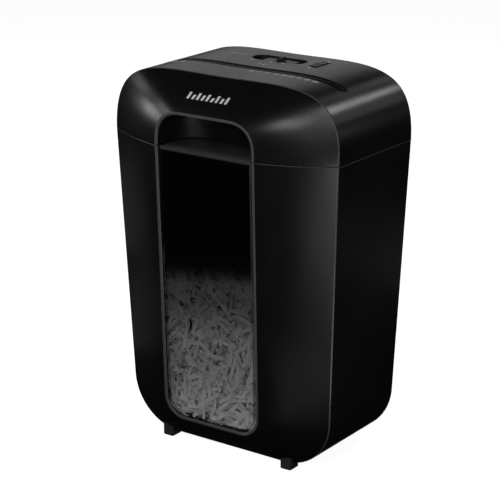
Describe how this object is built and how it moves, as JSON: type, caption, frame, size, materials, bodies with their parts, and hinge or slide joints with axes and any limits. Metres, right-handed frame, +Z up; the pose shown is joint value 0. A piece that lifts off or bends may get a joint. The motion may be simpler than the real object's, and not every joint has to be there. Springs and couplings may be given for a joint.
{
  "type": "paper shredder",
  "caption": "Free-standing paper shredder: a motor head with a paper slot, mode and lock sliders and a hand recess lifts off a tall waste bin with a smoked window.",
  "frame": {"origin": "on the floor, under the middle of the shredder's box", "axes": "+X to the right seen from the front, +Y to the back, +Z up; the window faces -Y"},
  "size_m": [0.315, 0.2152, 0.4655],
  "materials": {
    "body_black": "satin black moulding with a fine spark texture",
    "inner_black": "matt black moulding",
    "smoked_window": "polished smoked clear moulding",
    "foot_plastic": "matt black moulding",
    "rubber_black": "matt black rubber",
    "plate_steel": "zinc plated sheet steel",
    "cutter_steel": "hardened and ground steel, lightly oiled",
    "gear_steel": "sintered steel",
    "motor_steel": "rolled steel can",
    "brass_bush": "sintered bronze",
    "nylon_white": "natural nylon",
    "board_green": "green solder mask",
    "capacitor_white": "white moulded case",
    "switch_grey": "grey moulded case",
    "shredded_paper": "plain white office paper, cut and creased",
    "print_white": "screen printed white ink",
    "control_black": "semi-gloss black moulding"
  },
  "bodies": {
    "bin": {"bin_shell": "body_black", "bin_window": "smoked_window", "foot_front_right": "foot_plastic", "foot_front_left": "foot_plastic", "foot_rear_right": "foot_plastic", "foot_rear_left": "foot_plastic"},
    "head": {"head_cover": "body_black", "head_base": "inner_black", "cord_gland": "rubber_black", "side_plate_left": "plate_steel", "side_plate_right": "plate_steel", "tie_rod_front_upper": "plate_steel", "tie_rod_front_lower": "plate_steel", "tie_rod_rear_upper": "plate_steel", "tie_rod_rear_lower": "plate_steel", "bush_front_left": "brass_bush", "bush_front_right": "brass_bush", "bush_rear_left": "brass_bush", "bush_rear_right": "brass_bush", "stripper_comb_front": "nylon_white", "stripper_comb_rear": "nylon_white", "throat_guide_front": "inner_black", "throat_guide_rear": "inner_black", "first_gear_axle": "plate_steel", "second_gear_axle": "plate_steel", "gear_retainer": "plate_steel", "motor_can": "motor_steel", "motor_end_cap": "inner_black", "circuit_board": "board_green", "run_capacitor": "capacitor_white", "thermal_cutout": "inner_black", "mode_switch_body": "inner_black", "sensor_body": "inner_black", "interlock_switch": "switch_grey", "lock_body": "inner_black"},
    "front_roll": {"front_cutter_roll": "cutter_steel", "front_sync_gear": "gear_steel"},
    "rear_roll": {"rear_cutter_roll": "cutter_steel", "rear_sync_gear": "gear_steel", "roll_drive_gear": "gear_steel"},
    "second_gear": {"second_reduction_gear": "nylon_white"},
    "first_gear": {"first_reduction_gear": "nylon_white"},
    "rotor": {"motor_rotor": "cutter_steel", "motor_fan": "inner_black"},
    "mode_slider": {"mode_slider": "control_black"},
    "lock_slider": {"lock_slider": "control_black"},
    "plunger": {"interlock_plunger": "nylon_white"},
    "flag": {"paper_flag": "nylon_white"}
  },
  "joints": [
    {"name": "head_lift", "type": "slide", "parent": "bin", "child": "head", "axis": [0, 0, 1], "range_m": [0, 0.15]},
    {"name": "rear_roll_spin", "type": "hinge", "parent": "head", "child": "rear_roll", "pos_m": [0, -0.0025, 0.409], "axis": [1, 0, 0], "continuous": true},
    {"name": "front_roll_spin", "type": "hinge", "parent": "head", "child": "front_roll", "pos_m": [0, -0.0275, 0.409], "axis": [1, 0, 0], "continuous": true},
    {"name": "second_gear_spin", "type": "hinge", "parent": "head", "child": "second_gear", "pos_m": [-0.13, 0.02869, 0.41338], "axis": [1, 0, 0], "continuous": true},
    {"name": "first_gear_spin", "type": "hinge", "parent": "head", "child": "first_gear", "pos_m": [-0.124, 0.05186, 0.43244], "axis": [1, 0, 0], "continuous": true},
    {"name": "motor_spin", "type": "hinge", "parent": "head", "child": "rotor", "pos_m": [-0.07, 0.06, 0.412], "axis": [1, 0, 0], "continuous": true},
    {"name": "mode_slide", "type": "slide", "parent": "head", "child": "mode_slider", "axis": [1, 0, 0], "range_m": [-0.01, 0.01]},
    {"name": "lock_slide", "type": "slide", "parent": "head", "child": "lock_slider", "axis": [0, 1, 0], "range_m": [0, 0.006]},
    {"name": "interlock_press", "type": "slide", "parent": "head", "child": "plunger", "axis": [0, 0, 1], "range_m": [0, 0.004], "stiffness_N_per_m": 200, "springref_m": -0.002},
    {"name": "flag_swing", "type": "hinge", "parent": "head", "child": "flag", "pos_m": [0, -0.0042, 0.44], "axis": [1, 0, 0], "range_deg": [0, 20], "stiffness_Nm_per_rad": 0.002, "springref_deg": -17.19}
  ],
  "couplings": [
    {"joint": "front_roll_spin", "follows": "rear_roll_spin", "ratio": -1},
    {"joint": "second_gear_spin", "follows": "rear_roll_spin", "ratio": -2.5},
    {"joint": "first_gear_spin", "follows": "rear_roll_spin", "ratio": 7.5},
    {"joint": "motor_spin", "follows": "rear_roll_spin", "ratio": -20}
  ]
}
